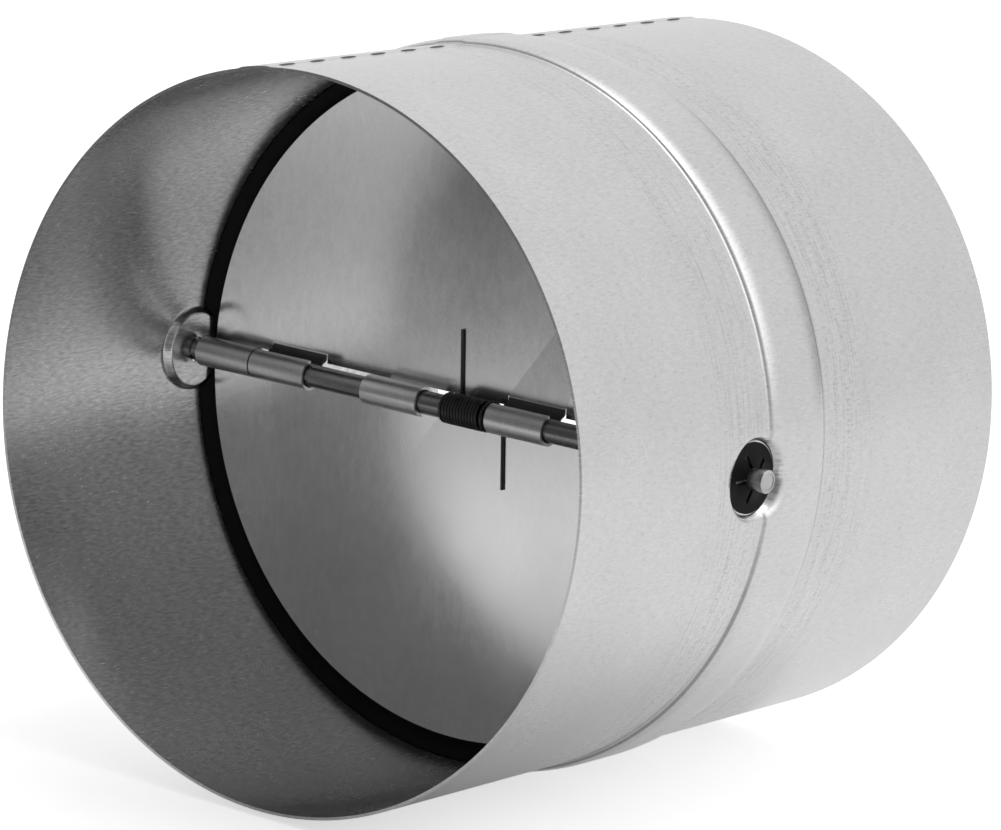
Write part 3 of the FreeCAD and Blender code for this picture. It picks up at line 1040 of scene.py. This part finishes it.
@dataclass
class LockWasher:
    """A push-on washer: a flat rim with a rolled edge and five teeth that bite on the shaft."""

    side: Side
    finish: bpy.types.Material
    turned: float = 25.0
    edge: float = 0.06 * MM
    pieces: list[bpy.types.Object] = field(default_factory=list)

    def build(self) -> None:
        """Copy the node, turn its slits as photographed, soften it and register it."""
        node = "lock_washer_" + self.side.name.lower()
        piece = merged_copy(node, node + "_spring_steel", 30.0)
        place = Matrix.Translation(AXLE)
        turn = Matrix.Rotation(math.radians(self.turned * self.side.value), 4, "X")
        piece.data.transform(place @ turn @ place.inverted())
        bevel(piece, self.edge, 2, 45)
        smooth(piece, 30)
        piece.data.materials.append(self.finish)
        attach(piece, "casing_body")
        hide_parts(node)
        self.pieces.append(piece)


@dataclass
class HingeShaft:
    """The bright drawn shaft, with rough sheared faces at its ends."""

    finish: bpy.types.Material
    sheared: bpy.types.Material
    radius: float = 2.0 * MM
    half: float = 64.1 * MM
    chamfer: float = 0.22 * MM
    ring: float = 0.5 * MM
    hollow: float = 0.02 * MM
    pieces: list[bpy.types.Object] = field(default_factory=list)

    def _near_end(
        self, piece: bpy.types.Object, side: Side, facing: float, depth: float,
    ) -> list[bool]:
        """For each face of the rod, whether it looks out of one end and lies close to it.

        Args:
            piece: the rod.
            side: which end.
            facing: the least share of its normal along the rod.
            depth: how far in from the end its middle may lie.

        Returns:
            A flag for each face.
        """
        sign = side.value
        return [
            face.normal.x * sign > facing and face.center.x * sign > self.half - depth
            for face in piece.data.polygons
        ]

    def _end(self, piece: bpy.types.Object, side: Side) -> None:
        """Inset one end face and leave its middle a little off the rim, as a shear does."""
        pick_faces(piece, self._near_end(piece, side, 0.95, 0.1 * MM))
        bpy.ops.mesh.inset(thickness=self.ring, depth=0.0)
        bpy.ops.mesh.inset(thickness=self.ring, depth=self.hollow)
        bpy.ops.object.mode_set(mode="OBJECT")
        flags = self._near_end(piece, side, 0.3, 0.5 * MM)
        for face, rough in zip(piece.data.polygons, flags):
            if rough:
                face.material_index = 1

    def build(self) -> None:
        """Model, dress and register the shaft."""
        deselect_all()
        bpy.ops.mesh.primitive_cylinder_add(
            vertices=48, radius=self.radius, depth=2 * self.half, location=AXLE, rotation=SHAFTWISE,
        )
        piece = added("hinge_shaft_rod")
        piece.data.materials.append(self.finish)
        piece.data.materials.append(self.sheared)
        bevel(piece, self.chamfer, 3, 50)
        self._end(piece, Side.LEFT)
        self._end(piece, Side.RIGHT)
        outward(piece)
        smooth(piece, 40)
        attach(piece, "casing_body")
        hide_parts("hinge_shaft")
        self.pieces.append(piece)


# studio


@dataclass(frozen=True)
class Studio:
    """Camera, one lamp, pale floor and white surroundings."""

    reach: float = 62.0 * MM
    azimuth: float = 37.557
    elevation: float = 12.0
    roll: float = 4.013
    distance: float = 16.135
    shift_right: float = 0.00085
    shift_up: float = 0.03201
    lens_pixels: float = 362.439 * 16.135
    image_width: int = 1001
    sensor_width: float = 36.0
    floor_z: float = -63.0 * MM
    near_level: float = 0.18
    far_level: float = 0.87
    arc_level: float = 0.80
    rear_dip: float = 0.38
    table_width: float = 3.0
    table_depth: float = 3.4
    table_shift: float = 0.5
    table_glow: float = 0.60
    table_painted_glow: float = 0.32
    table_fade: tuple[float, float] = (-0.55, -0.27)
    table_painted_shadow: tuple[float, float] = (0.035, -0.10)

    def camera(self) -> None:
        """Place the camera where the photograph was taken."""
        az, el, roll = (math.radians(a) for a in (self.azimuth, self.elevation, self.roll))
        back = Vector((math.sin(az) * math.cos(el), -math.cos(az) * math.cos(el), math.sin(el)))
        right = Vector((0, 0, 1)).cross(back).normalized()
        up = back.cross(right)
        side = right * math.cos(roll) + up * math.sin(roll)
        top = up * math.cos(roll) - right * math.sin(roll)
        place = (back * self.distance - side * self.shift_right - top * self.shift_up) * self.reach
        data = bpy.data.cameras.new("camera")
        data.sensor_width = self.sensor_width
        data.sensor_fit = "HORIZONTAL"
        data.lens = self.lens_pixels * self.sensor_width / self.image_width
        data.clip_start = 0.05
        data.clip_end = 20.0
        camera = bpy.data.objects.new("camera", data)
        bpy.context.scene.collection.objects.link(camera)
        camera.matrix_world = Matrix((
            (side.x, top.x, back.x, place.x),
            (side.y, top.y, back.y, place.y),
            (side.z, top.z, back.z, place.z),
            (0.0, 0.0, 0.0, 1.0),
        ))
        bpy.context.scene.camera = camera

    @staticmethod
    def lamp(name: str, place: tuple[float, float, float], size: float, watts: float) -> None:
        """A square soft box that points at the origin.

        Args:
            name: the light's name.
            place: where it stands, in metres.
            size: its width and height in metres.
            watts: its power.
        """
        data = bpy.data.lights.new(name, "AREA")
        data.shape = "RECTANGLE"
        data.size = size
        data.size_y = size
        data.energy = watts
        light = bpy.data.objects.new(name, data)
        bpy.context.scene.collection.objects.link(light)
        light.location = place
        light.rotation_euler = (-Vector(place)).to_track_quat("-Z", "Y").to_euler()

    def world(self) -> None:
        """White backdrop for the camera. Metal shows it graded, from the far side to the dim half
        of the studio on the near side, with an arc of soft box over the casing."""
        world = bpy.data.worlds.new("studio")
        bpy.context.scene.world = world
        world.use_nodes = True
        world.node_tree.nodes.clear()
        kit = NodeKit(world.node_tree)
        across, along, upward = kit.split(kit.add("TexCoord").outputs["Generated"])
        lean = kit.plus(along, kit.times(across, 0.35))
        graded = kit.ramp(lean, -0.55, 0.15, self.near_level, self.far_level)
        arc = kit.times(kit.ramp(along, -0.10, 0.08), kit.ramp(along, 0.66, 0.32))
        arc = kit.times(arc, kit.ramp(upward, 0.05, 0.50, 0.0, self.arc_level))
        arc = kit.times(arc, kit.ramp(across, -0.5, -0.2))
        dip = kit.ramp(along, 0.86, 0.93, 0.0, self.rear_dip)
        mirrored = kit.minus(kit.plus(graded, arc), dip)
        seen, shown, fill = (
            kit.add("Background", None, Color=(1.0, 1.0, 1.0, 1.0), Strength=strength).outputs[0]
            for strength in (1.0, mirrored, graded)
        )
        path = kit.add("LightPath").outputs
        metal = kit.math("MAXIMUM", path["Is Glossy Ray"], path["Is Transmission Ray"])
        mix = kit.add("MixShader", None, i0=metal, i1=fill, i2=shown).outputs[0]
        mix = kit.add("MixShader", None, i0=path["Is Camera Ray"], i1=mix, i2=seen).outputs[0]
        kit.link(mix, kit.add("OutputWorld").inputs[0])

    def floor(self) -> None:
        """A white table under the casing, which keeps the casing's shadow. Its near side is painted
        dim for all but the camera, so that the duct's inside stays dark. For glossy rays the table
        glows with painted light, with a painted shadow in front of the casing."""
        deselect_all()
        bpy.ops.mesh.primitive_plane_add(size=1.0, location=(0.0, self.table_shift, self.floor_z))
        bpy.context.object.scale = (self.table_width, self.table_depth, 1.0)
        floor = added("floor")
        material, kit, shader, coords = new_material("pale_floor")
        shader.inputs["Roughness"].default_value = 0.9
        shader.inputs["Specular IOR Level"].default_value = 0.0
        shader.inputs["Emission Color"].default_value = (1.0, 1.0, 1.0, 1.0)
        across, along, _ = kit.split(coords)
        lean = kit.plus(along, kit.times(across, 0.9))
        # painted shadow: glossy rays see no glow in a spot in front of the casing
        painted_shadow = kit.vector("DISTANCE", coords, (*self.table_painted_shadow, self.floor_z))
        # painted light: the table glows for glossy rays, fading out towards the near side
        painted_glow = kit.ramp(lean, *self.table_fade, 0.0, self.table_painted_glow)
        painted_glow = kit.times(painted_glow, kit.ramp(painted_shadow.outputs["Value"], 0.05, 0.14, 0.0, 1.0))
        painted_glow = kit.times(painted_glow, kit.ramp(along, -0.08, 0.04, 1.0, 0.95))
        # painted shade: the table's colour darkens towards the near side
        shade = kit.ramp(lean, *self.table_fade, 0.20, 0.86)
        seen = kit.ramp(lean, *self.table_fade, 0.93, self.table_glow)
        path = kit.add("LightPath").outputs
        glow = kit.times(path["Is Camera Ray"], seen)
        glow = kit.math("MAXIMUM", glow, kit.times(path["Is Glossy Ray"], painted_glow))
        kit.link(kit.grey(shade), shader.inputs["Base Color"])
        kit.link(glow, shader.inputs["Emission Strength"])
        floor.data.materials.append(material)

    def build(self) -> None:
        """Set the stage."""
        self.camera()
        self.world()
        self.floor()
        self.lamp("overhead", (0.2, 0.1, 1.3), 0.6, 2.5)
        bpy.context.scene.view_settings.view_transform = "Standard"


def main() -> None:
    """Build every sub-assembly and the studio, and report each piece."""
    groups = SurfaceGroups()
    galvanised = GalvanisedFinish(groups).build()
    aluminium = BrushedAluminiumFinish(groups).build()
    bright = WireFinish(groups, "bright_shaft", 0.22, 1.0, 0.24).build()
    sheared = WireFinish(groups, "sheared_end", 0.60, 0.5, 0.55).build()
    spring = WireFinish(groups, "spring_wire", 0.055, 0.8, 0.32).build()
    black = WireFinish(groups, "black_washer", 0.003, 0.0, 0.45, 0.10).build()
    # painted shadow for the seam's stitches
    stitch_shadow_finish = WireFinish(groups, "seam_shadow", 0.16, 0.4, 0.6).build()
    rubber = RubberFinish(groups).build()
    parts = [
        Casing(galvanised, stitch_shadow_finish),
        TakenOver("seal_ring", "casing_body", "seal_rubber", rubber),
        HingeShaft(bright, sheared),
        TakenOver("upper_flap", "upper_flap_body", "flap_aluminium", aluminium),
        TakenOver("lower_flap", "lower_flap_body", "flap_aluminium", aluminium),
        Spring(spring),
        LockWasher(Side.LEFT, black),
        LockWasher(Side.RIGHT, black),
    ]
    for part in parts:
        part.build()
        for piece in part.pieces:
            LOG.info("%s: %d faces", piece.name, len(piece.data.polygons))
    Studio().build()


if __name__ == "__main__":
    logging.basicConfig(level=logging.INFO)
    main()
